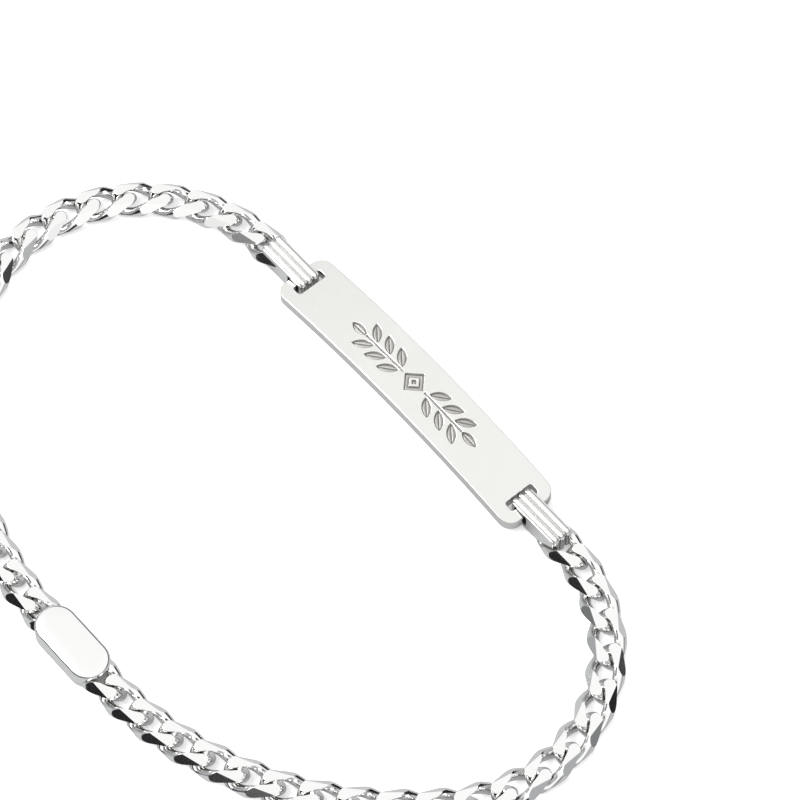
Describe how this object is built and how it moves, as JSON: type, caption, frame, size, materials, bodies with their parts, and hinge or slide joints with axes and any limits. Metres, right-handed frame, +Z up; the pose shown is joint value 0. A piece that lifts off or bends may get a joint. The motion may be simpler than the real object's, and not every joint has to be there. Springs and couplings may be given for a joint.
{
  "type": "id bracelet",
  "caption": "Identity bracelet: a curved engraved silver plate on two ribbed bails, with a flat-filed curb chain and a plain clasp, lying as a closed loop.",
  "frame": {"origin": "under the middle of the loop's box, on the surface that the bracelet lies on", "axes": "+X along the plate, +Z up out of the surface, +Y from the clasp to the plate"},
  "size_m": [0.0808, 0.0474, 0.0035],
  "materials": {
    "plate": "polished sterling silver",
    "bails": "polished sterling silver",
    "chain": "filed and polished sterling silver",
    "clasp": "polished sterling silver"
  },
  "bodies": {
    "root": {"id_plate": "plate", "bail_right": "bails", "bail_left": "bails", "link_right_01": "chain", "link_right_02": "chain", "link_right_03": "chain", "link_right_04": "chain", "link_right_05": "chain", "link_right_06": "chain", "link_right_07": "chain", "link_right_08": "chain", "link_right_09": "chain", "link_right_10": "chain", "link_right_11": "chain", "link_right_12": "chain", "link_right_13": "chain", "link_right_14": "chain", "link_right_15": "chain", "link_right_16": "chain", "link_right_17": "chain", "link_right_18": "chain", "link_right_19": "chain", "link_left_01": "chain", "link_left_02": "chain", "link_left_03": "chain", "link_left_04": "chain", "link_left_05": "chain", "link_left_06": "chain", "link_left_07": "chain", "link_left_08": "chain", "link_left_09": "chain", "link_left_10": "chain", "link_left_11": "chain", "link_left_12": "chain", "link_left_13": "chain", "link_left_14": "chain", "link_left_15": "chain", "link_left_16": "chain", "link_left_17": "chain", "link_left_18": "chain", "link_left_19": "chain", "clasp": "clasp"}
  },
  "joints": []
}
